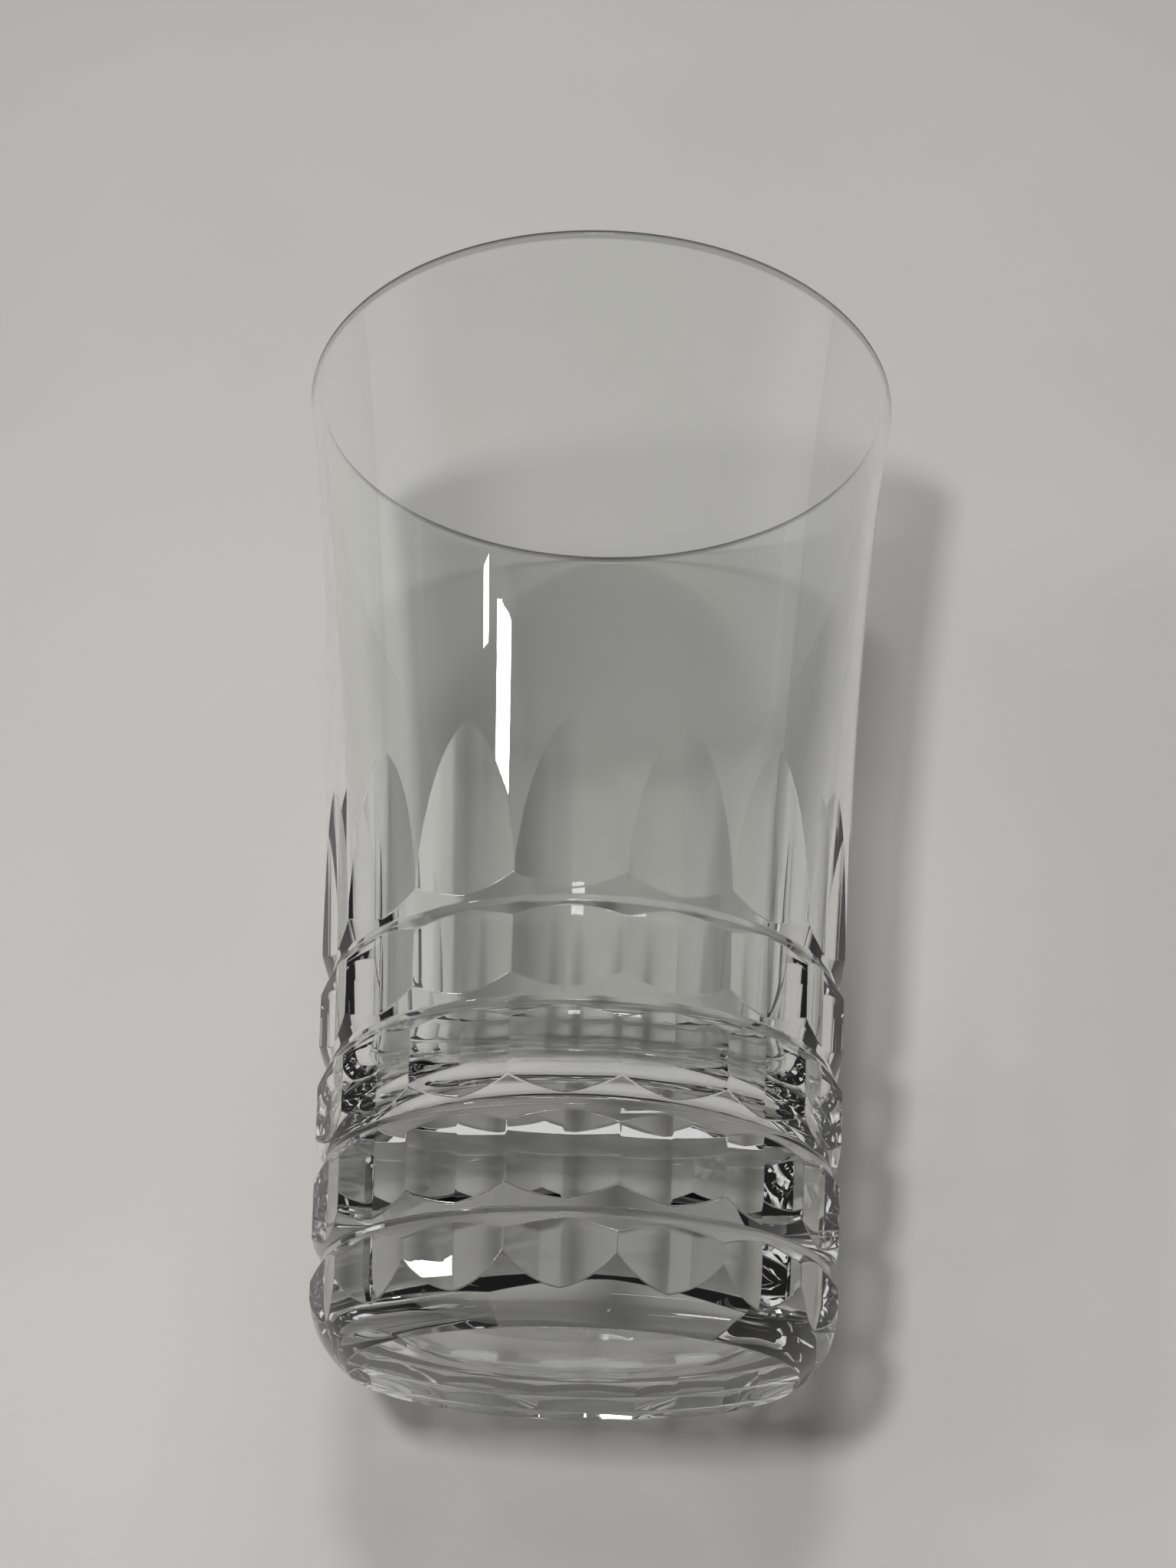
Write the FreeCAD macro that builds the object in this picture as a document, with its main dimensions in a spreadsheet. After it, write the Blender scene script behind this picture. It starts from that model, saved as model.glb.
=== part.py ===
"""Tall cut-crystal tumbler, one piece of glass: a heavy-based tapered cup with a flared mouth,
upright mitre flutes round its lower half and mitred rings that cross them.

Frame: +Z runs from the base to the rim along the axis, and the origin is the centre of the
underside. All sizes are in millimetres. Every driving size has one cell in the sheet, and the
sketches and features read the cells through expressions.
"""
import FreeCAD, Part

import enum
import math
import os

import Sketcher

NODE = "tumbler"
SHEET = "sizes"

SIZES = {
    # the blown blank, outside: flat base, rounded heel, straight taper, then a flare to the lip
    "height": 123.8,
    "rim_radius": 38.0,
    "heel_height": 8.0,
    "heel_radius": 28.6,
    "heel_turn": 4.55,
    "waist_height": 50.0,
    "waist_swell": 1.8,
    # the cavity: the wall's thickness at the lip and at the floor, and how much more than the
    # outside it flares at the lip
    "rim_wall": 1.5,
    "floor_height": 25.5,
    "floor_wall": 4.75,
    "mouth_flare": 0.0058,
    # the rounds of the floor's corner, the lip and the base's edge
    "floor_round": 7.0,
    "rim_round": 0.7,
    "base_round": 0.35,
    # the upright mitre flutes: how deep and steep the wheel cuts, and where it enters and leaves
    "flute_count": 16.0,
    "flute_depth": 0.93,
    "flute_slope": 3.0,
    "flute_foot_step": 1.65,
    "flute_straight_low": 6.0,
    "flute_straight_high": 42.9,
    "flute_top": 63.9,
    # the mitred rings, with their narrow flat floors
    "ring_count": 4.0,
    "ring_first": 10.65,
    "ring_pitch": 10.8,
    "ring_depth": 1.25,
    "ring_width": 4.9,
    "ring_floor": 0.65,
    # the flute's cutting profile reaches this far sideways, and this far out into the air
    "wheel_half_width": 8.0,
    "wheel_reach": 3.0,
}

# Sizes that follow from those above, as formulas of the same sheet.
FOLLOWING = {
    "flat_radius": "heel_radius - heel_turn",
    "waist_radius": "heel_radius + waist_swell",
    "taper_slope": "waist_swell / (waist_height - heel_height)",
    "flare_chord": "(rim_radius - waist_radius) / (height - waist_height)",
    "lip_slope": "tan(2 * atan(flare_chord) - atan(taper_slope))",
    "mouth_slope": "lip_slope + mouth_flare",
    "mouth_radius": "rim_radius - rim_wall",
    "floor_radius": "heel_radius + taper_slope * (floor_height - heel_height) - floor_wall",
    "flute_foot_radius": "flat_radius + flute_foot_step",
}

# Two measures nearer than this are the same.
MATCH = 1e-4


class Mark(enum.IntEnum):
    """The sketcher's numbers for a sketch's own axes and origin, and for a line's or arc's ends."""

    ORIGIN = -1
    ACROSS_AXIS = -1
    UP_AXIS = -2
    START = 1
    END = 2


def make_sheet(document):
    """The driving dimensions and those that follow from them, one aliased cell each."""
    sheet = document.addObject("Spreadsheet::Sheet", SHEET)
    cells = [(name, str(number)) for name, number in SIZES.items()]
    cells += [(name, "=" + formula) for name, formula in FOLLOWING.items()]
    for row, (name, content) in enumerate(cells, start=1):
        sheet.set("A%d" % row, name)
        sheet.setAlias("B%d" % row, name)
        sheet.set("B%d" % row, content)
    document.recompute()


def size(name):
    """The number in the sheet's cell of this name."""
    return float(FreeCAD.ActiveDocument.getObject(SHEET).get(name))


def point(across, up):
    """A point of a sketch."""
    return FreeCAD.Vector(across, up, 0)


def origin_feature(body, role):
    """The plane or axis with this role in the body's own origin."""
    return next(item for item in body.Origin.OriginFeatures if item.Role == role)


def new_sketch(body, name, role):
    """An empty sketch on one of the body's origin planes."""
    sketch = body.newObject("Sketcher::SketchObject", name)
    sketch.AttachmentSupport = (origin_feature(body, role), "")
    sketch.MapMode = "FlatFace"
    return sketch


def drive(sketch, kind, geometry, end, value, expression):
    """Hold one coordinate of a point, measured from the sketch's origin, at an expression."""
    index = sketch.addConstraint(
        Sketcher.Constraint(kind, Mark.ORIGIN, Mark.START, geometry, end, value))
    sketch.setExpression("Constraints[%d]" % index, expression)


def place(sketch, geometry, end, across, up):
    """Hold a point of the sketch at two expressions, or on an axis where one is None."""
    where = sketch.getPoint(geometry, end)
    if across is None:
        sketch.addConstraint(Sketcher.Constraint("PointOnObject", geometry, end, Mark.UP_AXIS))
    else:
        drive(sketch, "DistanceX", geometry, end, where.x, across)
    if up is None:
        sketch.addConstraint(Sketcher.Constraint("PointOnObject", geometry, end, Mark.ACROSS_AXIS))
    else:
        drive(sketch, "DistanceY", geometry, end, where.y, up)


def add_polygon(sketch, corners):
    """A closed outline of straight lines, held at its corners.

    Each corner is its first position, then the expressions for across and up.
    """
    first = sketch.GeometryCount
    count = len(corners)
    for index in range(count):
        here = corners[index][0]
        after = corners[(index + 1) % count][0]
        sketch.addGeometry(Part.LineSegment(here, after), False)
    for index in range(count):
        after = first + (index + 1) % count
        sketch.addConstraint(
            Sketcher.Constraint("Coincident", first + index, Mark.END, after, Mark.START))
    for index, (_, across, up) in enumerate(corners):
        place(sketch, first + index, Mark.START, across, up)


def arc_from(start, direction, finish):
    """The arc that leaves start along direction and ends at finish, with its end numbers.

    A sketcher arc always runs anticlockwise, so an arc that turns right starts at its finish.
    """
    side = FreeCAD.Vector(-direction.y, direction.x, 0).normalize()
    chord = finish - start
    radius = chord.Length ** 2 / (2 * chord.dot(side))
    centre = start + side * radius
    circle = Part.Circle(centre, FreeCAD.Vector(0, 0, 1), abs(radius))
    angles = [math.atan2(end.y - centre.y, end.x - centre.x) for end in (start, finish)]
    if radius > 0:
        return Part.ArcOfCircle(circle, angles[0], angles[1]), Mark.START, Mark.END
    return Part.ArcOfCircle(circle, angles[1], angles[0]), Mark.END, Mark.START


def blank_wall(sketch, construction):
    """The straight taper and the tangent flare of the blank's outside; returns their numbers."""
    heel = point(size("heel_radius"), size("heel_height"))
    waist = point(size("waist_radius"), size("waist_height"))
    lip = point(size("rim_radius"), size("height"))
    taper = sketch.addGeometry(Part.LineSegment(heel, waist), construction)
    curve, near, far = arc_from(waist, waist - heel, lip)
    flare = sketch.addGeometry(curve, construction)
    sketch.addConstraint(Sketcher.Constraint("Tangent", taper, Mark.END, flare, near))
    place(sketch, taper, Mark.START, "sizes.heel_radius", "sizes.heel_height")
    place(sketch, taper, Mark.END, "sizes.waist_radius", "sizes.waist_height")
    place(sketch, flare, far, "sizes.rim_radius", "sizes.height")
    return taper, flare, far


def wall_radius(height):
    """An expression for the taper's radius at a height, which is an expression too."""
    return "sizes.heel_radius + sizes.taper_slope * (%s - sizes.heel_height)" % height


def add_blank(body):
    """The solid blank: flat base, heel arc, taper and flare, turned round the axis."""
    sketch = new_sketch(body, "blank_outline", "XZ_Plane")
    taper, flare, lip_end = blank_wall(sketch, False)
    heel = sketch.getPoint(taper, Mark.START)
    lip = sketch.getPoint(flare, lip_end)
    flat = point(size("flat_radius"), 0)
    curve, near, far = arc_from(heel, heel - sketch.getPoint(taper, Mark.END), flat)
    arc = sketch.addGeometry(curve, False)
    sketch.addConstraint(Sketcher.Constraint("Tangent", taper, Mark.START, arc, near))
    base = sketch.addGeometry(Part.LineSegment(point(0, 0), flat), False)
    sketch.addConstraint(Sketcher.Constraint("Coincident", base, Mark.START, Mark.ORIGIN, Mark.START))
    sketch.addConstraint(Sketcher.Constraint("Coincident", base, Mark.END, arc, far))
    place(sketch, base, Mark.END, "sizes.flat_radius", None)
    top = sketch.addGeometry(Part.LineSegment(lip, point(0, lip.y)), False)
    sketch.addConstraint(Sketcher.Constraint("Coincident", top, Mark.START, flare, lip_end))
    sketch.addConstraint(Sketcher.Constraint("Horizontal", top))
    axis = sketch.addGeometry(Part.LineSegment(point(0, lip.y), point(0, 0)), False)
    sketch.addConstraint(Sketcher.Constraint("Coincident", top, Mark.END, axis, Mark.START))
    sketch.addConstraint(Sketcher.Constraint("Coincident", axis, Mark.END, Mark.ORIGIN, Mark.START))
    sketch.addConstraint(Sketcher.Constraint("Vertical", axis))
    return turn(body, "PartDesign::Revolution", "blank", sketch)


def add_cavity(body):
    """The inside of the cup: a flat floor and one long arc, turned round the axis.

    A guide line gives the arc its slope at the lip, where it follows the outside's flare.
    """
    sketch = new_sketch(body, "cavity_outline", "XZ_Plane")
    corner = point(size("floor_radius"), size("floor_height"))
    lip = point(size("mouth_radius"), size("height"))
    drop = lip.y - size("waist_height")
    below = point(lip.x - size("mouth_slope") * drop, size("waist_height"))
    guide = sketch.addGeometry(Part.LineSegment(below, lip), True)
    curve, near, far = arc_from(lip, below - lip, corner)
    wall = sketch.addGeometry(curve, False)
    sketch.addConstraint(Sketcher.Constraint("Tangent", guide, Mark.END, wall, near))
    below_across = "sizes.mouth_radius - sizes.mouth_slope * (sizes.height - sizes.waist_height)"
    place(sketch, guide, Mark.START, below_across, "sizes.waist_height")
    place(sketch, wall, near, "sizes.mouth_radius", "sizes.height")
    place(sketch, wall, far, "sizes.floor_radius", "sizes.floor_height")
    floor = sketch.addGeometry(Part.LineSegment(point(0, corner.y), corner), False)
    mouth = sketch.addGeometry(Part.LineSegment(lip, point(0, lip.y)), False)
    axis = sketch.addGeometry(Part.LineSegment(point(0, lip.y), point(0, corner.y)), False)
    sketch.addConstraint([
        Sketcher.Constraint("Coincident", floor, Mark.END, wall, far),
        Sketcher.Constraint("Coincident", wall, near, mouth, Mark.START),
        Sketcher.Constraint("Coincident", mouth, Mark.END, axis, Mark.START),
        Sketcher.Constraint("Coincident", axis, Mark.END, floor, Mark.START),
        Sketcher.Constraint("Horizontal", floor),
        Sketcher.Constraint("Horizontal", mouth),
        Sketcher.Constraint("PointOnObject", floor, Mark.START, Mark.UP_AXIS),
        Sketcher.Constraint("PointOnObject", mouth, Mark.END, Mark.UP_AXIS),
    ])
    return turn(body, "PartDesign::Groove", "cavity", sketch)


def turn(body, kind, name, sketch):
    """Turn a sketch right round the body's axis, to add glass or to cut it away."""
    feature = body.newObject(kind, name)
    feature.Profile = sketch
    feature.ReferenceAxis = (sketch, ["V_Axis"])
    feature.Angle = 360
    body.Document.recompute()
    return feature


def add_round(body, name, size, rings):
    """Round the circular edges that lie at these heights and radii."""
    carrier = body.Tip
    names = []
    for number, edge in enumerate(carrier.Shape.Edges, start=1):
        if not isinstance(edge.Curve, Part.Circle):
            continue
        for height, radius in rings:
            level = abs(edge.Curve.Center.z - height) < MATCH
            if level and abs(edge.Curve.Radius - radius) < MATCH:
                names.append("Edge%d" % number)
    feature = body.newObject("PartDesign::Fillet", name)
    feature.Base = (carrier, names)
    feature.setExpression("Radius", "sizes." + size)
    body.Document.recompute()
    return feature


def add_rounds(body):
    """The floor's corner, both edges of the lip, and the edge of the ground flat."""
    add_round(body, "floor_corner", "floor_round",
              [(size("floor_height"), size("floor_radius"))])
    add_round(body, "lip", "rim_round",
              [(size("height"), size("rim_radius")),
               (size("height"), size("mouth_radius"))])
    add_round(body, "base_edge", "base_round", [(0, size("flat_radius"))])


def add_rings(body):
    """The mitred rings: a V with a narrow flat floor, cut round the taper at even steps."""
    for number in range(int(size("ring_count"))):
        sketch = new_sketch(body, "ring_outline_%d" % (number + 1), "XZ_Plane")
        centre = "(sizes.ring_first + %d * sizes.ring_pitch)" % number
        wall = wall_radius(centre)
        floor = wall + " - sizes.ring_depth"
        outside = wall + " + sizes.ring_depth"
        middle = size("ring_first") + number * size("ring_pitch")
        half_floor = size("ring_floor") / 2
        half_mouth = size("ring_width") - half_floor
        inner = size("heel_radius") - size("ring_depth")
        outer = size("waist_radius") + size("ring_depth")
        floor_up = "sizes.ring_floor / 2"
        mouth_up = "(sizes.ring_width - sizes.ring_floor / 2)"
        add_polygon(sketch, [
            (point(inner, middle - half_floor), floor, centre + " - " + floor_up),
            (point(outer, middle - half_mouth), outside, centre + " - " + mouth_up),
            (point(outer, middle + half_mouth), outside, centre + " + " + mouth_up),
            (point(inner, middle + half_floor), floor, centre + " + " + floor_up),
        ])
        turn(body, "PartDesign::Groove", "ring_%d" % (number + 1), sketch)


def flute_path(body):
    """The line that the wheel's edge follows: in over the heel, up beside the taper, and out.

    It runs parallel to the taper, one flute's depth inside it. Tangent arcs lead in from the
    base's plane and out through the wall, where the flute ends in its pointed tip.
    """
    sketch = new_sketch(body, "flute_path", "XZ_Plane")
    taper, flare, _ = blank_wall(sketch, True)
    heel = sketch.getPoint(taper, Mark.START)
    waist = sketch.getPoint(taper, Mark.END)
    slope = (waist.x - heel.x) / (waist.y - heel.y)
    inset = size("flute_depth") * math.sqrt(1 + slope ** 2)

    def beside(height):
        return point(heel.x - inset + slope * (height - heel.y), height)

    low = beside(size("flute_straight_low"))
    high = beside(size("flute_straight_high"))
    foot = point(size("flute_foot_radius"), 0)
    straight = sketch.addGeometry(Part.LineSegment(low, high), False)
    sketch.addConstraint(Sketcher.Constraint("Parallel", straight, taper))
    gap = sketch.addConstraint(
        Sketcher.Constraint("Distance", straight, Mark.START, taper, size("flute_depth")))
    sketch.setExpression("Constraints[%d]" % gap, "sizes.flute_depth")
    drive(sketch, "DistanceY", straight, Mark.START, low.y, "sizes.flute_straight_low")
    drive(sketch, "DistanceY", straight, Mark.END, high.y, "sizes.flute_straight_high")

    curve, near, far = arc_from(low, low - high, foot)
    lead_in = sketch.addGeometry(curve, False)
    sketch.addConstraint(Sketcher.Constraint("Tangent", straight, Mark.START, lead_in, near))
    place(sketch, lead_in, far, "sizes.flute_foot_radius", None)

    tip_height = size("flute_top")
    tip_guess = point(beside(tip_height).x + size("flute_depth"), tip_height)
    curve, near, far = arc_from(high, high - low, tip_guess)
    reach = curve.Circle.Radius
    turned = (tip_height + size("wheel_reach") - high.y) / reach
    end_guess = high + point(reach * (1 - math.cos(turned)), reach * math.sin(turned))
    curve, near, far = arc_from(high, high - low, end_guess)
    lead_out = sketch.addGeometry(curve, False)
    sketch.addConstraint(Sketcher.Constraint("Tangent", straight, Mark.END, lead_out, near))
    drive(sketch, "DistanceY", lead_out, far, end_guess.y, "sizes.flute_top + sizes.wheel_reach")
    tip = sketch.addGeometry(Part.Point(tip_guess), True)
    drive(sketch, "DistanceY", tip, Mark.START, tip_height, "sizes.flute_top")
    sketch.addConstraint(Sketcher.Constraint("PointOnObject", tip, Mark.START, flare))
    sketch.addConstraint(Sketcher.Constraint("PointOnObject", tip, Mark.START, lead_out))
    return sketch


def flute_profile(body):
    """The wheel's mitre edge seen from above, at the foot of its path: a V that opens outwards."""
    sketch = new_sketch(body, "flute_profile", "XY_Plane")
    foot = size("flute_foot_radius")
    half = size("wheel_half_width")
    rise = half * math.tan(math.radians(size("flute_slope")))
    back = foot + rise + size("wheel_reach")
    edge_x = "sizes.flute_foot_radius + sizes.wheel_half_width * tan(sizes.flute_slope)"
    back_x = edge_x + " + sizes.wheel_reach"
    above = "sizes.wheel_half_width"
    below = "-sizes.wheel_half_width"
    add_polygon(sketch, [
        (point(foot, 0), "sizes.flute_foot_radius", None),
        (point(foot + rise, half), edge_x, above),
        (point(back, half), back_x, above),
        (point(back, -half), back_x, below),
        (point(foot + rise, -half), edge_x, below),
    ])
    return sketch


def add_flutes(body):
    """One flute, cut by the mitre along its path, and the others turned round the axis."""
    path = flute_path(body)
    profile = flute_profile(body)
    body.Document.recompute()
    flute = body.newObject("PartDesign::SubtractivePipe", "flute")
    flute.Profile = profile
    flute.Spine = path
    flute.Mode = "Fixed"
    body.Document.recompute()
    pattern = body.newObject("PartDesign::PolarPattern", "flutes")
    pattern.Originals = [flute]
    pattern.Axis = (origin_feature(body, "Z_Axis"), [""])
    pattern.Angle = 360
    pattern.setExpression("Occurrences", "sizes.flute_count")
    body.Tip = pattern
    body.Document.recompute()


def check(document, body):
    """Stop if a feature failed, or if one that should add or remove glass did nothing."""
    for item in document.Objects:
        if "Invalid" in item.State or "Error" in item.State:
            raise RuntimeError("%s did not build" % item.Name)
    steps = [item for item in body.Group if item.isDerivedFrom("PartDesign::Feature")]
    for before, after in zip(steps, steps[1:]):
        if abs(after.Shape.Volume - before.Shape.Volume) < MATCH:
            raise RuntimeError("%s changed nothing" % after.Name)
    shape = body.Shape
    if shape.isNull() or not shape.isValid() or len(shape.Solids) != 1:
        raise RuntimeError("the glass is not one valid solid")


def main():
    """Build the glass in a new document and write it out."""
    document = FreeCAD.newDocument("tumbler_document")
    make_sheet(document)
    body = document.addObject("PartDesign::Body", "glass")
    body.Label = NODE
    body.Placement = FreeCAD.Placement()
    add_blank(body)
    add_cavity(body)
    add_rounds(body)
    add_rings(body)
    add_flutes(body)
    document.recompute()
    check(document, body)
    os.makedirs("parts", exist_ok=True)
    body.Shape.exportStep("parts/%s.step" % body.Label)
    print("%s: volume %.1f mm3, faces %d" % (NODE, body.Shape.Volume, len(body.Shape.Faces)))


main()
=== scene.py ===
"""Tall cut-crystal tumbler: one piece of clear glass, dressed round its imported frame.

The glass stands on the plane z = 0 and lies against a pale table top that leans behind it.
Every length is in metres and every angle in radians, in the frame's own axes.
"""

import math

import bpy
import numpy as np
from bpy.props import FloatProperty, FloatVectorProperty, IntProperty, PointerProperty
from mathutils import Matrix, Vector


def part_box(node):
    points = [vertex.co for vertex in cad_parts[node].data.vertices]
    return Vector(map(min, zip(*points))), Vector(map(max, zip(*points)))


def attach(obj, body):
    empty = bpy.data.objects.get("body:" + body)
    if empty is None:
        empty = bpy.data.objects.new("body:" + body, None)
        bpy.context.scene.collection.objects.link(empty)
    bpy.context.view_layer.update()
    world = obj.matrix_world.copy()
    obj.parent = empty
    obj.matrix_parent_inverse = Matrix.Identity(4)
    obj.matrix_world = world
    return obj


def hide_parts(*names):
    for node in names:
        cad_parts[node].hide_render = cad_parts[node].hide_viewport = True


bl_info = {
    "name": "Cut Crystal Tumbler",
    "version": (1, 0, 0),
    "blender": (4, 5, 0),
    "location": "View3D > Sidebar > Tumbler",
    "description": "Builds a tall cut-crystal tumbler and the plain stage round it",
    "category": "Object",
}

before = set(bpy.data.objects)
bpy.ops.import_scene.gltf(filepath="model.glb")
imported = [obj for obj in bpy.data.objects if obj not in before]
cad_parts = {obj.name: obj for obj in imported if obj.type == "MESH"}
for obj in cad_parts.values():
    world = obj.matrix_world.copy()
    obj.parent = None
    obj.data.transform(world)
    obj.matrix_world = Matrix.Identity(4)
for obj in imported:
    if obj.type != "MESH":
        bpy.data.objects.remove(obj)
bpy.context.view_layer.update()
NODE_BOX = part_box("tumbler")

GLASS_NAME = "cut_crystal_tumbler"
MM = 0.001


def length(name, description, millimetres):
    """A length property with its default given in millimetres."""
    return FloatProperty(
        name=name, description=description, default=millimetres * MM,
        min=0.0, subtype="DISTANCE", unit="LENGTH", precision=5)


def amount(name, description, default, low=0.0, high=1.0):
    """A plain number property."""
    return FloatProperty(name=name, description=description, default=default, min=low, max=high)


def tint(name, description, default):
    """A colour property."""
    return FloatVectorProperty(
        name=name, description=description, default=default,
        size=3, min=0.0, max=1.0, subtype="COLOR")


class TumblerShape(bpy.types.PropertyGroup):
    """Sizes of the blown blank, its cavity, the mitre flutes and the rings."""

    height: length("Height", "From the underside to the lip", (NODE_BOX[1].z - NODE_BOX[0].z) / MM)
    rim_radius: length("Rim radius", "Outside of the lip before it is rounded", 38.0)
    heel_height: length("Heel height", "Top of the rounded heel", 8.0)
    heel_radius: length("Heel radius", "Outside at the top of the heel", 28.6)
    heel_turn: length("Heel turn", "How far the heel turns in to the ground flat", 4.55)
    waist_height: length("Waist height", "Where the straight taper ends and the flare starts", 50.0)
    waist_swell: length("Waist swell", "How much wider the waist is than the heel", 1.8)
    rim_wall: length("Rim wall", "Thickness of the wall at the lip", 1.5)
    floor_height: length("Floor height", "Glass under the cavity", 25.5)
    floor_wall: length("Floor wall", "Thickness of the wall at the floor", 4.75)
    mouth_flare: amount("Mouth flare", "How much more the inside flares at the lip", 0.0058)
    floor_round: length("Floor round", "Radius in the corner of the floor", 7.0)
    rim_round: length("Lip round", "Radius of both edges of the lip", 0.7)
    base_round: length("Base round", "Radius of the edge of the ground flat", 0.35)
    flute_count: IntProperty(name="Flutes", description="Upright cuts", default=16, min=3)
    flute_depth: length("Flute depth", "Depth of a flute's valley", 0.93)
    flute_slope: FloatProperty(
        name="Flute slope", description="Rise of a flute's flank", default=math.radians(3.0),
        subtype="ANGLE", unit="ROTATION")
    flute_foot_step: length("Flute foot", "Foot of a flute's path outside the flat", 1.65)
    flute_straight_low: length("Flute low", "Where a flute's straight run starts", 6.0)
    flute_straight_high: length("Flute high", "Where a flute's straight run ends", 42.9)
    flute_top: length("Flute top", "Height of a flute's tip", 63.9)
    ring_count: IntProperty(name="Rings", description="Level cuts", default=4, min=1)
    ring_first: length("First ring", "Height of the lowest ring", 10.65)
    ring_pitch: length("Ring pitch", "Step from ring to ring", 10.8)
    ring_depth: length("Ring depth", "Depth of a ring's floor", 1.25)
    ring_width: length("Ring width", "Width of a ring where it meets the blank", 4.9)
    ring_floor: length("Ring floor", "Width of a ring's flat floor", 0.65)
    edge_polish: length("Edge polish", "How far polishing rounds a cut edge each way", 0.13)


class TumblerLook(bpy.types.PropertyGroup):
    """Colours and strengths of the glass, the table top and the room."""

    glass_tint: tint("Glass tint", "Colour of thick crystal", (0.985, 0.99, 0.983))
    glass_cord: tint("Glass cord", "Colour of the faint cords in it", (0.97, 0.98, 0.965))
    # The lip's darker tint is painted shade, standing in for the dark seen through the rounded lip.
    painted_lip_shade: tint("Lip tint", "Darker line along the lip", (0.42, 0.42, 0.41))
    wave_depth: length("Wave depth", "Depth of the polisher's slow waves", 0.02)
    grain_depth: length("Grain depth", "Depth of the wheel's fine grain", 0.0003)
    glass_ior: amount("Glass IOR", "Refraction of lead crystal", 1.545, 1.0, 2.0)
    table_colour: tint("Table colour", "Pale laminate under the glass", (0.62, 0.61, 0.585))
    floor_colour: tint("Floor colour", "Plain floor under the glass", (0.80, 0.79, 0.77))
    room_colour: tint("Room colour", "Plain light of the room", (0.22, 0.22, 0.215))
    ceiling_colour: tint("Ceiling colour", "Darker part of the room", (0.05, 0.05, 0.049))
    backdrop_colour: tint("Backdrop colour", "What is seen past the floor", (0.66, 0.66, 0.65))


def shape():
    """The scene's sizes of the glass."""
    return bpy.context.scene.tumbler_shape


def look():
    """The scene's colours and strengths."""
    return bpy.context.scene.tumbler_look


# ---------------------------------------------------------------- curves of the profile


class Arc:
    """A circle's arc x(z) that leaves a point along a direction and passes through another.

    Its centre is start + side * R with R = |chord|^2 / (2 chord . side), and
    x(z) = cx -/+ sqrt(R^2 - (z - cz)^2).
    """

    def __init__(self, start, direction, finish):
        start, direction, finish = (np.asarray(v, float) for v in (start, direction, finish))
        side = np.array([-direction[1], direction[0]]) / np.hypot(*direction)
        chord = finish - start
        reach = chord @ chord / (2 * (chord @ side))
        self.centre = start + side * reach
        self.radius = abs(reach)
        self.sign = np.sign(start[0] - self.centre[0])

    def radius_at(self, z):
        """x at height z."""
        return self.centre[0] + self.sign * np.sqrt(self.radius ** 2 - (z - self.centre[1]) ** 2)

    def slope_at(self, z):
        """dx/dz at height z, which is -(z - cz) / (x - cx)."""
        return -(z - self.centre[1]) / (self.radius_at(z) - self.centre[0])

    def round_beside(self, z, out):
        """The centre, at height z, of a round that touches the arc from |out| away, and its touch.

        The centre lies on the arc moved out: x = cx -/+ sqrt((R -/+ out)^2 - (z - cz)^2).
        """
        reach = self.radius + self.sign * out
        x = self.centre[0] + self.sign * math.sqrt(reach ** 2 - (z - self.centre[1]) ** 2)
        centre = np.array([x, z])
        return centre, self.centre + (centre - self.centre) * self.radius / reach


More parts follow.
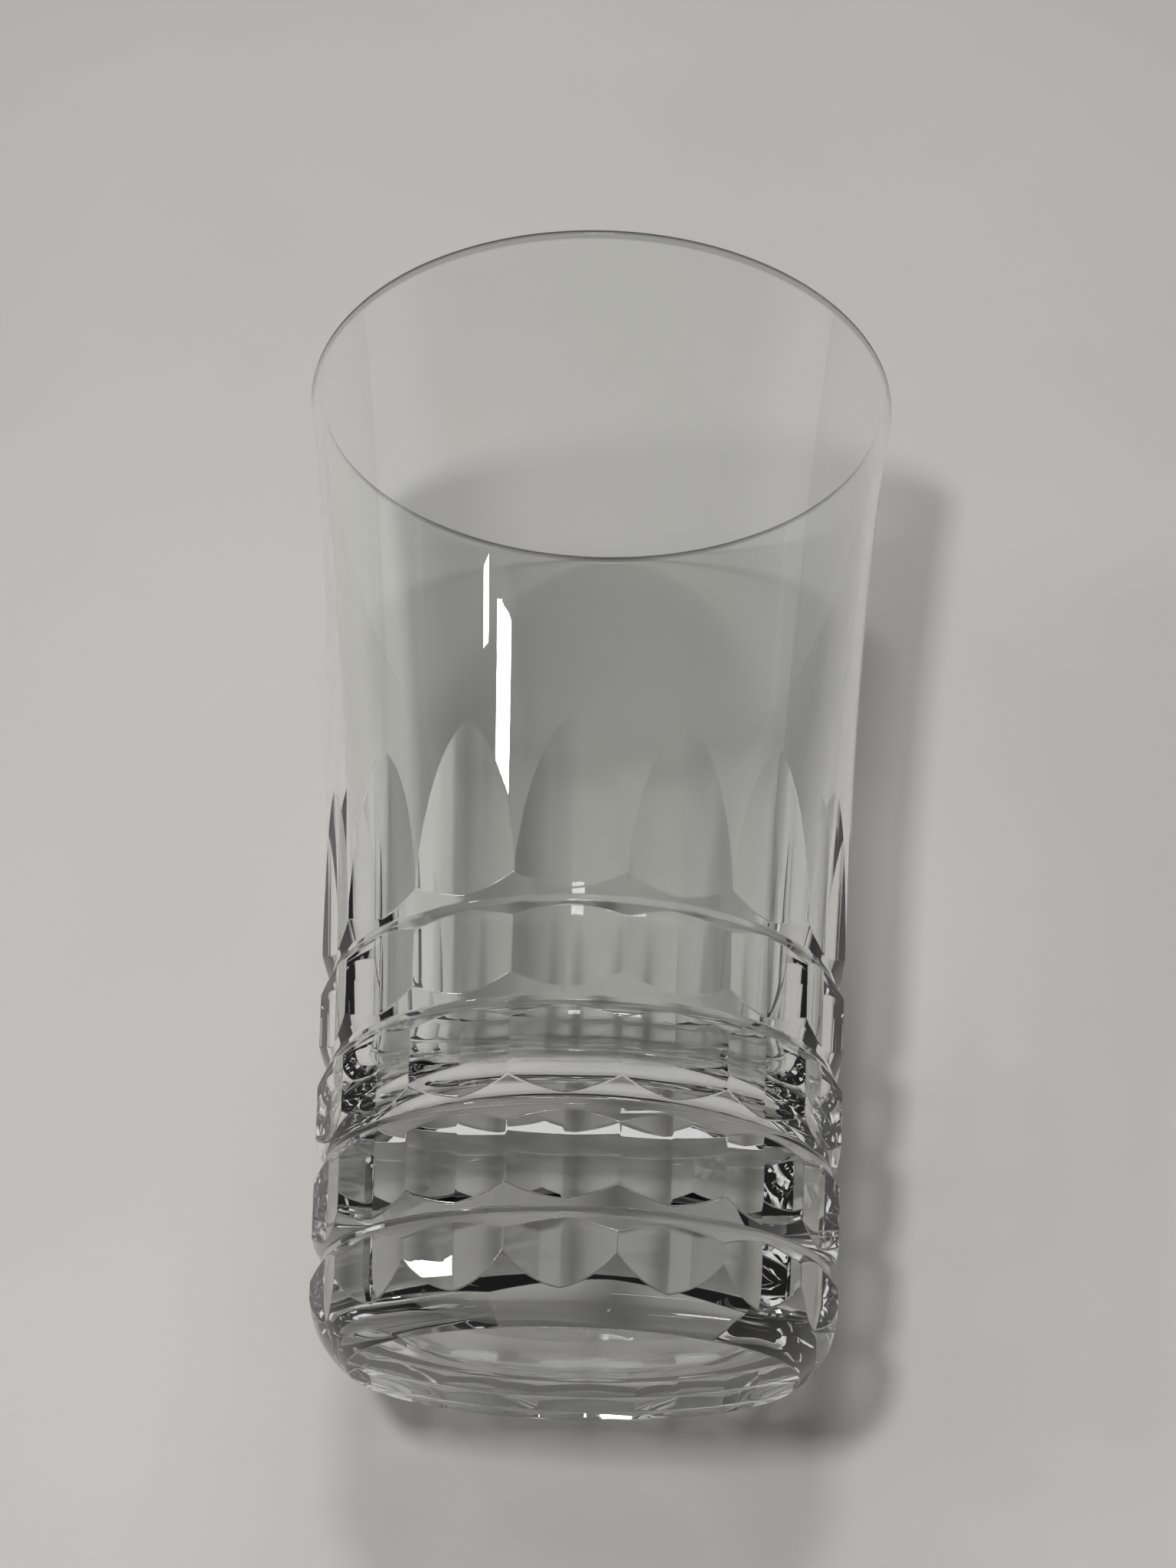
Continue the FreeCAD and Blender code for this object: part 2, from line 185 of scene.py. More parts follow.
class Profile:
    """Radius and slope of the blank's outside, the flute's valley and the cavity's wall."""

    def __init__(self, size):
        self.size = size
        self.slope = size.waist_swell / (size.waist_height - size.heel_height)
        self.waist_radius = size.heel_radius + size.waist_swell
        self.flat_radius = size.heel_radius - size.heel_turn
        heel = (size.heel_radius, size.heel_height)
        waist = (self.waist_radius, size.waist_height)
        self.heel_arc = Arc(heel, (-self.slope, -1), (self.flat_radius, 0))
        self.flare_arc = Arc(waist, (self.slope, 1), (size.rim_radius, size.height))
        self.mouth_radius = size.rim_radius - size.rim_wall
        self.floor_radius = self.wall(size.floor_height) - size.floor_wall
        mouth_slope = self.flare_arc.slope_at(size.height) + size.mouth_flare
        self.cavity_arc = Arc((self.mouth_radius, size.height), (-mouth_slope, -1),
                              (self.floor_radius, size.floor_height))
        self.inset = size.flute_depth * math.hypot(1, self.slope)
        low, high = size.flute_straight_low, size.flute_straight_high
        foot = (self.flat_radius + size.flute_foot_step, 0)
        tip = (self.flare_arc.radius_at(size.flute_top), size.flute_top)
        self.lead_in = Arc((self.wall(low) - self.inset, low), (-self.slope, -1), foot)
        self.lead_out = Arc((self.wall(high) - self.inset, high), (self.slope, 1), tip)

    def wall(self, z):
        """The straight taper: r = heel_radius + slope (z - heel_height)."""
        return self.size.heel_radius + self.slope * (z - self.size.heel_height)

    def pick(self, z, low, high, below, between, above):
        """Values from three pieces of a curve that meet at two heights."""
        return np.where(z < low, below, np.where(z > high, above, between))

    def blank(self, z):
        """Radius and slope of the outside: heel arc, taper, flare arc."""
        heel, waist = self.size.heel_height, self.size.waist_height
        under, over = np.minimum(z, heel), np.maximum(z, waist)
        radius = self.pick(z, heel, waist, self.heel_arc.radius_at(under),
                           self.wall(z), self.flare_arc.radius_at(over))
        slope = self.pick(z, heel, waist, self.heel_arc.slope_at(under),
                          self.slope, self.flare_arc.slope_at(over))
        return radius, slope

    def valley(self, z):
        """Distance and slope of the flute's valley: lead-in arc, line beside the taper, lead-out."""
        low, high = self.size.flute_straight_low, self.size.flute_straight_high
        under, over = np.minimum(z, low), np.maximum(z, high)
        radius = self.pick(z, low, high, self.lead_in.radius_at(under),
                           self.wall(z) - self.inset, self.lead_out.radius_at(over))
        slope = self.pick(z, low, high, self.lead_in.slope_at(under),
                          self.slope, self.lead_out.slope_at(over))
        return radius, slope

    def flute(self, z, turn):
        """A mitre flank across the flute: r = valley(z) / (cos a - sin a tan(slope))."""
        spread = np.cos(turn) - np.sin(turn) * math.tan(self.size.flute_slope)
        return self.valley(z)[0] / spread

    def ring_slope(self):
        """How fast a ring's flank opens: out by twice its depth over its width less the floor."""
        return 2 * self.size.ring_depth / (self.size.ring_width - self.size.ring_floor)

    def ring_centre(self, number):
        """Height of a ring, counted from the bottom."""
        return self.size.ring_first + number * self.size.ring_pitch

    def ring_floor_radius(self, number):
        """Radius of a ring's flat floor."""
        return self.wall(self.ring_centre(number)) - self.size.ring_depth

    def ring(self, z, number):
        """Radius of a ring's cut: its floor, then a straight flank each way."""
        away = np.abs(z - self.ring_centre(number)) - self.size.ring_floor / 2
        return self.ring_floor_radius(number) + self.ring_slope() * np.maximum(away, 0)


def crossing(first, second, low, high):
    """Height at which two radius functions meet, by halving the interval in whole arrays."""
    low, high = np.array(low, float), np.array(high, float)
    starts = first(low) > second(low)
    for _ in range(48):
        middle = (low + high) / 2
        same = (first(middle) > second(middle)) == starts
        low, high = np.where(same, middle, low), np.where(same, high, middle)
    return (low + high) / 2


# ---------------------------------------------------------------- the glass's surface


class Skin:
    """A closed surface built up from rows of points that run right round the axis.

    Each strip between two rows is one smooth band with its own exact normals, so the line
    between two bands stays sharp where their normals differ.
    """

    def __init__(self, turns, on_edge, flute_turn, flute_side, flank):
        self.turns = turns
        self.on_edge = on_edge
        self.flute_turn = flute_turn
        self.flute_side = flute_side
        self.flank = flank
        self.rows = []
        self.bands = []

    def start(self, radius, height):
        """The first row."""
        self.rows.append((radius, height))

    def band(self, radius, height, normal, cut=False):
        """More rows above the last one: their normals are radial and upright parts.

        The arrays have one row for the row that the band starts from, and one for each new row.
        On a flute the radial part points across the flank instead of away from the axis.
        """
        first = len(self.rows) - 1
        self.rows.extend(zip(radius[1:], height[1:]))
        self.bands.append((first, normal, cut))

    def corner_normals(self, normal, cut):
        """Unit normals at the four corners of each face of a band, in the faces' own order.

        On a flute they follow the flank, and turn to the mean of both flanks at valley and ridge.
        """
        own = np.arange(len(self.turns))
        ahead = (own + 1) % len(own)
        lower, upper = slice(None, -1), slice(1, None)
        flat, upright = normal
        corners = []
        for rows, columns in ((lower, own), (lower, ahead), (upper, ahead), (upper, own)):
            out, up = flat[rows][:, columns], upright[rows][:, columns]
            turn = self.turns[columns]
            if cut:
                across = self.flute_turn - self.flute_side * self.flank
                turn = np.where(self.on_edge[columns], turn, across)
                out = np.where(self.on_edge[columns], out, out / math.cos(self.flank))
            vector = np.stack([out * np.cos(turn), out * np.sin(turn),
                               np.broadcast_to(up, out.shape)], axis=-1)
            corners.append(vector / np.linalg.norm(vector, axis=-1, keepdims=True))
        return np.stack(corners, axis=2)

    def all_normals(self):
        """Every band's corner normals, with the mean of both bands along the line they share.

        The rows beside such a line lie close to it, so each cut edge is polished very slightly
        round instead of being razor sharp.
        """
        bands = [self.corner_normals(normal, cut) for _, normal, cut in self.bands]
        for under, over in zip(bands, bands[1:]):
            for top, bottom in ((2, 1), (3, 0)):
                mean = under[-1, :, top] + over[0, :, bottom]
                mean /= np.linalg.norm(mean, axis=-1, keepdims=True)
                under[-1, :, top] = mean
                over[0, :, bottom] = mean
        return bands

    def mesh(self, name, centre):
        """The mesh, with a single point at each pole."""
        count = len(self.turns)
        radius = np.array([np.broadcast_to(r, count) for r, _ in self.rows])
        height = np.array([np.broadcast_to(z, count) for _, z in self.rows])
        points = np.stack([centre[0] + radius * np.cos(self.turns),
                           centre[1] + radius * np.sin(self.turns),
                           centre[2] + height], axis=-1).reshape(-1, 3)
        poles = np.array([[centre[0], centre[1], centre[2] + height[0, 0]],
                          [centre[0], centre[1], centre[2] + height[-1, 0]]])
        ahead = (np.arange(count) + 1) % count
        row = np.arange(len(self.rows) - 1)[:, None] * count
        quads = np.stack([row + np.arange(count), row + ahead,
                          row + count + ahead, row + count + np.arange(count)], axis=-1)
        quads = quads.reshape(-1, 4)
        below, above = len(points), len(points) + 1
        last = (len(self.rows) - 1) * count
        under = np.stack([np.full(count, below), ahead, np.arange(count)], axis=-1)
        over = np.stack([last + np.arange(count), last + ahead, np.full(count, above)], axis=-1)
        mesh = bpy.data.meshes.new(name)
        mesh.from_pydata(np.vstack([points, poles]).tolist(), [],
                         quads.tolist() + under.tolist() + over.tolist())
        mesh.shade_smooth()
        normals = [band.reshape(-1, 3) for band in self.all_normals()]
        down = np.tile([0.0, 0.0, -1.0], (3 * count, 1))
        normals += [down, -down]
        mesh.normals_split_custom_set(np.vstack(normals).tolist())
        mesh.validate()
        mesh.update()
        return mesh


def steps(low, high, count, border=0.0):
    """Rows from one height to another, each of which may change round the axis.

    With a border, one more row lies that far inside each end.
    """
    if not border:
        return low + (high - low) * np.linspace(0, 1, count + 1)[:, None]
    inside = low + border + (high - low - 2 * border) * np.linspace(0, 1, count + 1)[:, None]
    return np.vstack([low + 0 * inside[:1], inside, high + 0 * inside[:1]])


def rounding(centre, radius, start, end, count):
    """Rows round a centre: centre + radius (cos a, sin a), with (cos a, sin a) as their normal."""
    angle = np.linspace(start, end, count + 1)[:, None]
    out, up = np.cos(angle), np.sin(angle)
    return centre[0] + radius * out, centre[1] + radius * up, (out, up)


def heading(centre, touch):
    """The angle at which a touch point lies from a round's centre."""
    return math.atan2(touch[1] - centre[1], touch[0] - centre[0])


# How finely each stretch of the glass is divided, and where its two flats reach their poles.
HALF_FLUTE_COLUMNS = 9
POLE_RADIUS = 1.5 * MM
FLAT_ROWS = 8
SMALL_ROUND_ROWS = 8
HEEL_ROWS = 14
FLUTE_ROWS = 5
RING_ROWS = 5
TALL_FLUTE_ROWS = 16
FLARE_ROWS = 44
CAVITY_ROWS = 34
FLOOR_ROUND_ROWS = 14


def crystal_mesh(size, centre):
    """The whole glass: r(a, z) = min(blank(z), flute(a, z), ring(z)), closed by lip and cavity.

    a is the angle from the nearest flute's valley. Every line where two cuts meet is a row of
    its own, so the rows follow the scalloped edges of the rings and the arches of the flutes.
    """
    profile = Profile(size)
    pitch = 2 * math.pi / size.flute_count
    border = size.edge_polish / size.heel_radius
    half = np.concatenate([[0], np.linspace(border, pitch / 2 - border, HALF_FLUTE_COLUMNS)])
    halves = np.arange(2 * size.flute_count)[:, None]
    turns = (half + halves * pitch / 2).ravel()
    on_edge = np.tile(half == 0, 2 * size.flute_count)
    aside = np.abs((turns + pitch / 2) % pitch - pitch / 2)
    flute_number = (halves + 1) // 2 + 0 * half
    flute_side = np.where(halves % 2, -1.0, 1.0) + 0 * half
    skin = Skin(turns, on_edge, flute_number.ravel() * pitch, flute_side.ravel(), size.flute_slope)
    level = np.ones((1, len(turns)))

    def flat(first, last, height, up, rows):
        radius = steps(first, last, rows) * level
        skin.band(radius, height + 0 * radius, (0 * radius, up + 0 * radius))

    def turned(radius, height, normal):
        skin.band(radius * level, height * level, (normal[0] * level, normal[1] * level))

    def blank(low, high, rows):
        z = steps(low, high, rows, size.edge_polish) * level
        radius, slope = profile.blank(z)
        skin.band(radius, z, (np.ones_like(z), -slope))

    def flute(low, high, rows):
        z = steps(low, high, rows, size.edge_polish) * level
        skin.band(profile.flute(z, aside), z, (np.ones_like(z), -profile.valley(z)[1]), cut=True)

    def flute_at(z):
        return profile.flute(z, aside)

    def blank_at(z):
        return profile.blank(z)[0]

    # the ground flat and the rounded edge of the heel
    base, base_touch = profile.heel_arc.round_beside(size.base_round, -size.base_round)
    skin.start(POLE_RADIUS, 0.0)
    flat(POLE_RADIUS, base[0], 0.0, -1.0, FLAT_ROWS)
    turned(*rounding(base, size.base_round, -math.pi / 2, heading(base, base_touch),
                     SMALL_ROUND_ROWS))

    # the heel, then the flutes with the rings across them, then the flare
    edge = np.full(len(turns), base_touch[1])
    first_edge = profile.ring_centre(0) - size.ring_width / 2
    foot = crossing(flute_at, blank_at, edge, np.full(len(turns), first_edge))
    blank(edge, foot, HEEL_ROWS)
    edge = foot
    for number in range(size.ring_count):
        ring_centre = profile.ring_centre(number) + 0 * turns

        def ring_at(z, number=number):
            return profile.ring(z, number)

        low = crossing(ring_at, flute_at, ring_centre - size.ring_width, ring_centre)
        high = crossing(ring_at, flute_at, ring_centre, ring_centre + size.ring_width)
        flute(edge, low, FLUTE_ROWS)
        half_floor = size.ring_floor / 2
        slope = profile.ring_slope()
        for start, end, lean, rows in ((low, ring_centre - half_floor, slope, RING_ROWS),
                                       (ring_centre - half_floor, ring_centre + half_floor, 0, 1),
                                       (ring_centre + half_floor, high, -slope, RING_ROWS)):
            z = steps(start, end, rows, size.edge_polish) * level
            skin.band(ring_at(z), z, (np.ones_like(z), lean + 0 * z))
        edge = high

    # a flute's arch ends at its tip, so the search goes as far past the tip as it starts below
    over = np.full(len(turns), 2 * size.flute_top - size.flute_straight_high)
    arch = crossing(blank_at, flute_at, edge, over)
    flute(edge, arch, TALL_FLUTE_ROWS)
    top = size.height - size.rim_round
    lip, lip_touch = profile.flare_arc.round_beside(top, -size.rim_round)
    blank(arch, np.full(len(turns), lip_touch[1]), FLARE_ROWS)

    # the lip and the cavity
    turned(*rounding(lip, size.rim_round, heading(lip, lip_touch), math.pi / 2, SMALL_ROUND_ROWS))
    inner, inner_touch = profile.cavity_arc.round_beside(top, size.rim_round)
    flat(lip[0], inner[0], size.height, 1.0, 1)
    turned(*rounding(inner, size.rim_round, math.pi / 2, heading(inner, inner_touch),
                     SMALL_ROUND_ROWS))
    corner, corner_touch = profile.cavity_arc.round_beside(
        size.floor_height + size.floor_round, -size.floor_round)
    z = steps(inner_touch[1], corner_touch[1], CAVITY_ROWS)
    turned(profile.cavity_arc.radius_at(z), z, (0 * z - 1, profile.cavity_arc.slope_at(z)))
    radius, z, (out, up) = rounding(corner, size.floor_round, heading(corner, corner_touch),
                                    -math.pi / 2, FLOOR_ROUND_ROWS)
    turned(radius, z, (-out, -up))
    flat(corner[0], POLE_RADIUS, size.floor_height, 1.0, FLAT_ROWS)
    return skin.mesh(GLASS_NAME, centre)


# ---------------------------------------------------------------- materials

WHITE = (1.0, 1.0, 1.0, 1.0)

# Noises: cycles to the metre, detail, and how much x, y and z are stretched.
CORDS = (45.0, 2.0, (1, 1, 0.25))
WAVES = (60.0, 1.0, (1, 1, 0.6))
GRAIN = (700.0, 2.0, (1, 1, 1))
RUBS = (220.0, 4.0, (1, 3, 1))
MOTTLE = (14.0, 5.0, (1, 1, 1))

# Between which of a noise's values a cord, a rubbed patch or a mottle fades in.
CORD_EDGES = (0.35, 0.7)
RUB_EDGES = (0.45, 0.7)
MOTTLE_EDGES = (0.3, 0.7)

MOTTLE_SPREAD = 0.03
TABLE_ROUGHNESS = 0.55
FLOOR_ROUGHNESS = 0.8
RUBBED_ROUGHNESS = 0.10
WORN_HEIGHT = 0.4 * MM

# How far under the top of the lip its painted dark line of shade starts, and where it is at its
# darkest.
LIP_FADE = (0.9 * MM, 0.6 * MM)

# The light left behind the glass: by how far the wall turns away from the lamp, by height in
# shares of SHADE_HEIGHT, from a flute's valley to its ridge, and in a ring.
TURN_LIGHT = ((0.0, 1.0), (0.12, 0.94), (0.30, 0.66), (0.6, 0.25), (1.0, 0.05))
HEIGHT_LIGHT = ((0.0, 0.75), (0.28, 0.80), (0.46, 1.0), (0.84, 1.0), (0.90, 0.88))
SHADE_HEIGHT = 100 * MM
FLUTE_LIGHT = ((0.0, 0.12), (0.15, 0.38), (0.38, 0.80), (0.8, 1.0), (1.0, 1.0))
RING_LIGHT = 0.25

# How far a ring's shade, and the rear half's, fade out on each side of their edges.
RING_BLUR = 0.15 * MM
REAR_BLUR = 5 * MM


def new_material(name):
    """An empty node material and its output."""
    material = bpy.data.materials.new(name)
    material.use_nodes = True
    material.node_tree.nodes.clear()
    return material, material.node_tree.nodes.new("ShaderNodeOutputMaterial")


def object_place(tree):
    """The piece's own coordinates."""
    return tree.nodes.new("ShaderNodeTexCoord").outputs["Object"]


def feed(tree, value, socket):
    """Link a socket to another one, or set it to a number or a colour."""
    if isinstance(value, bpy.types.NodeSocket):
        tree.links.new(value, socket)
    else:
        socket.default_value = value


def ramp_node(tree, value, stops, curve="LINEAR"):
    """A colour ramp of greys or colours: (position, grey or colour) for each stop."""
    ramp = tree.nodes.new("ShaderNodeValToRGB")
    ramp.color_ramp.interpolation = curve
    elements = ramp.color_ramp.elements
    while len(elements) < len(stops):
        elements.new(0.5)
    for element, (position, colour) in zip(elements, stops):
        colour = (colour,) * 3 if isinstance(colour, float) else tuple(colour)
        element.position, element.color = position, (*colour, 1)
    tree.links.new(value, ramp.inputs["Fac"])
    return ramp.outputs["Color"]


def remap_node(tree, value, low, high, start=0.0, curve="LINEAR"):
    """A value that runs from start to 1 while another one goes from low to high."""
    remap = tree.nodes.new("ShaderNodeMapRange")
    remap.interpolation_type = curve
    remap.inputs["From Min"].default_value = low
    remap.inputs["From Max"].default_value = high
    remap.inputs["To Min"].default_value = start
    tree.links.new(value, remap.inputs["Value"])
    return remap.outputs["Result"]


def noise_node(tree, where, scale, detail, stretch):
    """Noise at a place, in cycles to the metre."""
    mapping = tree.nodes.new("ShaderNodeMapping")
    mapping.inputs["Scale"].default_value = stretch
    noise = tree.nodes.new("ShaderNodeTexNoise")
    noise.inputs["Scale"].default_value = scale
    noise.inputs["Detail"].default_value = detail
    tree.links.new(where, mapping.inputs["Vector"])
    tree.links.new(mapping.outputs["Vector"], noise.inputs["Vector"])
    return noise.outputs["Fac"]


def bump_node(tree, height, depth, under=None):
    """A bump of a given depth, over another one if there is one."""
    bump = tree.nodes.new("ShaderNodeBump")
    bump.inputs["Distance"].default_value = depth
    bump.inputs["Strength"].default_value = 1.0
    tree.links.new(height, bump.inputs["Height"])
    if under:
        tree.links.new(under, bump.inputs["Normal"])
    return bump.outputs["Normal"]


def math_node(tree, operation, first, second, clamp=False):
    """Arithmetic on a value and a second value or number, kept from 0 to 1 if clamped."""
    node = tree.nodes.new("ShaderNodeMath")
    node.operation = operation
    node.use_clamp = clamp
    tree.links.new(first, node.inputs[0])
    feed(tree, second, node.inputs[1])
    return node.outputs["Value"]


def mix_node(tree, share, first, second, blend="MIX"):
    """Two colours mixed by a share."""
    mix = tree.nodes.new("ShaderNodeMix")
    mix.data_type = "RGBA"
    mix.blend_type = blend
    feed(tree, share, mix.inputs["Factor"])
    feed(tree, first, mix.inputs["A"])
    feed(tree, second, mix.inputs["B"])
    return mix.outputs["Result"]


def product_node(tree, first, second):
    """Two colours multiplied."""
    return mix_node(tree, 1.0, first, second, "MULTIPLY")


def mixed_surface(tree, share, shader, output):
    """Show a shader, and let light straight through for a share. Returns the clear shader."""
    clear = tree.nodes.new("ShaderNodeBsdfTransparent")
    mix = tree.nodes.new("ShaderNodeMixShader")
    tree.links.new(share, mix.inputs["Fac"])
    tree.links.new(shader.outputs["BSDF"], mix.inputs[1])
    tree.links.new(clear.outputs["BSDF"], mix.inputs[2])
    tree.links.new(mix.outputs["Shader"], output.inputs["Surface"])
    return clear


def glass_colour_and_lip_shade(tree, where, height):
    """The tint of thick crystal with faint cords in it, and a painted dark line of shade along the
    lip.
    """
    first, last = CORD_EDGES
    cord = noise_node(tree, where, *CORDS)
    tints = ramp_node(tree, cord, ((first, look().glass_tint), (last, look().glass_cord)))
    # Painted shade: a darker line along the top of the lip.
    start, darkest = (shape().height - depth for depth in LIP_FADE)
    lip = remap_node(tree, height, start, darkest)
    line = ramp_node(tree, lip, ((0.0, 1.0), (1.0, look().painted_lip_shade)))
    return product_node(tree, tints, line)


def glass_relief(tree, where):
    """The polisher's slow waves, with the fine grain of the wheel over them."""
    waves = bump_node(tree, noise_node(tree, where, *WAVES), look().wave_depth)
    return bump_node(tree, noise_node(tree, where, *GRAIN), look().grain_depth, waves)


def glass_wear(tree, where, height):
    """The flat that the glass stands on is rubbed dull in patches."""
    foot = remap_node(tree, height, WORN_HEIGHT, 0.0)
    first, last = RUB_EDGES
    rubs = ramp_node(tree, noise_node(tree, where, *RUBS), ((first, 0.0), (last, RUBBED_ROUGHNESS)))
    return math_node(tree, "MULTIPLY", foot, rubs)


def cut_light(tree, split):
    """Light behind the cuts: less at each valley and ring, which spread it, more at each ridge.

    The turn round the axis, counted in flutes, swings between 0 at a valley and 1 at a ridge.
    A ring is as wide as its depth at that turn makes it, so its shade has scalloped edges.
    Only the side next to the table draws them there: the other one lies too far off.
    """
    size = shape()
    height = split.outputs["Z"]
    turn = math_node(tree, "ARCTAN2", split.outputs["Y"], split.outputs["X"])
    flutes = math_node(tree, "MULTIPLY", turn, size.flute_count / math.pi)
    swing = math_node(tree, "PINGPONG", flutes, 1.0)
    stripes = ramp_node(tree, swing, FLUTE_LIGHT)

    opening = 1 / Profile(size).ring_slope()
    narrow = size.ring_floor / 2 + (size.ring_depth - size.flute_depth) * opening
    wide = size.ring_width / 2
    edge = math_node(tree, "MULTIPLY", swing, wide - narrow)
    above = math_node(tree, "SUBTRACT", height, size.ring_first)
    away = math_node(tree, "PINGPONG", above, size.ring_pitch / 2)
    outside = math_node(tree, "SUBTRACT", away, edge)
    rings = remap_node(tree, outside, narrow - RING_BLUR, narrow + RING_BLUR, RING_LIGHT)
    end = size.ring_first + (size.ring_count - 0.5) * size.ring_pitch
    past_rings = math_node(tree, "GREATER_THAN", height, end)
    kept = math_node(tree, "MAXIMUM", rings, past_rings)

    reach = remap_node(tree, height, size.flute_top, size.flute_straight_high)
    rear = remap_node(tree, split.outputs["Y"], -REAR_BLUR, REAR_BLUR)
    share = math_node(tree, "MULTIPLY", reach, rear)
    return mix_node(tree, share, WHITE, product_node(tree, stripes, kept))


def light_left(tree, split):
    """What is left of a lamp's light behind each wall."""
    turned = tree.nodes.new("ShaderNodeLayerWeight")
    turned.inputs["Blend"].default_value = 0.5
    by_turn = ramp_node(tree, turned.outputs["Facing"], TURN_LIGHT)
    lift = math_node(tree, "DIVIDE", split.outputs["Z"], SHADE_HEIGHT)
    by_height = ramp_node(tree, lift, HEIGHT_LIGHT)
    return product_node(tree, product_node(tree, by_turn, by_height), cut_light(tree, split))


def crystal_material():
    """Clear polished lead crystal, slightly wavy, with a worn ground flat.

    Lamps shine through it with a shadow that deepens where the wall turns away from them, and
    in the thick foot, which bends most of the light aside.
    """
    material, output = new_material("cut_crystal")
    tree = material.node_tree
    where = object_place(tree)
    split = tree.nodes.new("ShaderNodeSeparateXYZ")
    tree.links.new(where, split.inputs["Vector"])
    height = split.outputs["Z"]

    shader = tree.nodes.new("ShaderNodeBsdfPrincipled")
    shader.inputs["Metallic"].default_value = 0.0
    shader.inputs["IOR"].default_value = look().glass_ior
    shader.inputs["Transmission Weight"].default_value = 1.0
    # Base colour: the crystal's tint with its cords, times the painted line of shade along the lip.
    tree.links.new(glass_colour_and_lip_shade(tree, where, height), shader.inputs["Base Color"])
    tree.links.new(glass_relief(tree, where), shader.inputs["Normal"])
    tree.links.new(glass_wear(tree, where, height), shader.inputs["Roughness"])

    path = tree.nodes.new("ShaderNodeLightPath")
    clear = mixed_surface(tree, path.outputs["Is Shadow Ray"], shader, output)
    tree.links.new(light_left(tree, split), clear.inputs["Color"])
    return material


def one_sided(name, roughness, colour):
    """A pale matt surface with a faint mottle, seen from its upper side only."""
    material, output = new_material(name)
    tree = material.node_tree
    shader = tree.nodes.new("ShaderNodeBsdfPrincipled")
    shader.inputs["Roughness"].default_value = roughness
    dull = [(1 - MOTTLE_SPREAD) * value for value in colour]
    pale = [(1 + MOTTLE_SPREAD) * value for value in colour]
    first, last = MOTTLE_EDGES
    noise = noise_node(tree, object_place(tree), *MOTTLE)
    mottle = ramp_node(tree, noise, ((first, dull), (last, pale)))
    tree.links.new(mottle, shader.inputs["Base Color"])
    side = tree.nodes.new("ShaderNodeNewGeometry")
    mixed_surface(tree, side.outputs["Backfacing"], shader, output)
    return material


def table_material():
    """Pale laminate under the glass."""
    return one_sided("table_top", TABLE_ROUGHNESS, look().table_colour)


def floor_material():
    """Pale matt floor."""
    return one_sided("floor", FLOOR_ROUGHNESS, look().floor_colour)


# ---------------------------------------------------------------- operators


class TUMBLER_OT_glass(bpy.types.Operator):
    """Make the cut-crystal glass and let it stand for the frame's node"""

    bl_idname = "tumbler.glass"
    bl_label = "Glass"

    def execute(self, context):
        low, high = NODE_BOX
        centre = ((low.x + high.x) / 2, (low.y + high.y) / 2, low.z)
        mesh = crystal_mesh(shape(), centre)
        glass = bpy.data.objects.new(GLASS_NAME, mesh)
        context.scene.collection.objects.link(glass)
        mesh.materials.append(crystal_material())
        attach(glass, "root")
        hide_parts("tumbler")
        return {"FINISHED"}


# The table top passes y = TABLE_FOOT at z = 0 and leans so that it touches both heel and lip.
TABLE_LEAN = math.radians(4.89)
TABLE_FOOT = 27.343 * MM
TABLE_HALF_WIDTH = 0.75
TABLE_BELOW = 0.45
TABLE_ABOVE = 1.05
FLOOR_HALF_WIDTH = 0.9

# Every lamp is a rectangle that faces TARGET. Each row: name, place, width and height, direction
# of the width, watts, seen in reflections, seen through the glass. A lamp that is left out of
# either still lights the table and the floor.
TARGET = Vector((0.0, 0.0, 0.05))
LEVEL = (1.0, 0.0, 0.0)
TILTED = (-0.966, 0.0, 0.259)
LAMPS = (
    ("window_lamp", (-0.995, -1.50, 0.758), (0.19, 0.05), TILTED, 1.0, True, False),
    ("side_lamp", (-1.32, -1.50, 0.873), (0.08, 0.025), TILTED, 0.25, True, False),
    ("heel_lamp", (-1.53, -1.50, 0.12), (0.16, 0.46), LEVEL, 4.6, True, False),
    ("high_lamp", (0.0, -1.46, 0.79), (0.30, 0.07), LEVEL, 2.0, True, True),
    ("soft_lamp", (-0.07, -0.38, 0.02), (0.035, 0.035), LEVEL, 0.64, False, False),
    ("far_lamp", (0.0, -0.80, 0.40), (0.12, 0.08), LEVEL, 0.9, False, False),
    ("top_lamp", (0.0, -0.45, 2.10), (0.45, 0.45), LEVEL, 15.0, False, False),
)

# The direction of the room's dark part, and the cosines between which it fades in.
CEILING = (0.0, -0.70, 0.714)
CEILING_EDGE = (0.35, 0.65)

# The camera: lens and sensor in millimetres, its place, and its right and down directions.
LENS = 50.1
SENSOR = 36.0
CLIP_START = 0.01
EYE = Vector((0.013654, -0.235187, -0.046901))
EYE_RIGHT = Vector((0.998593, 0.045723, 0.026860))
EYE_DOWN = Vector((0.003596, 0.446959, -0.894547))


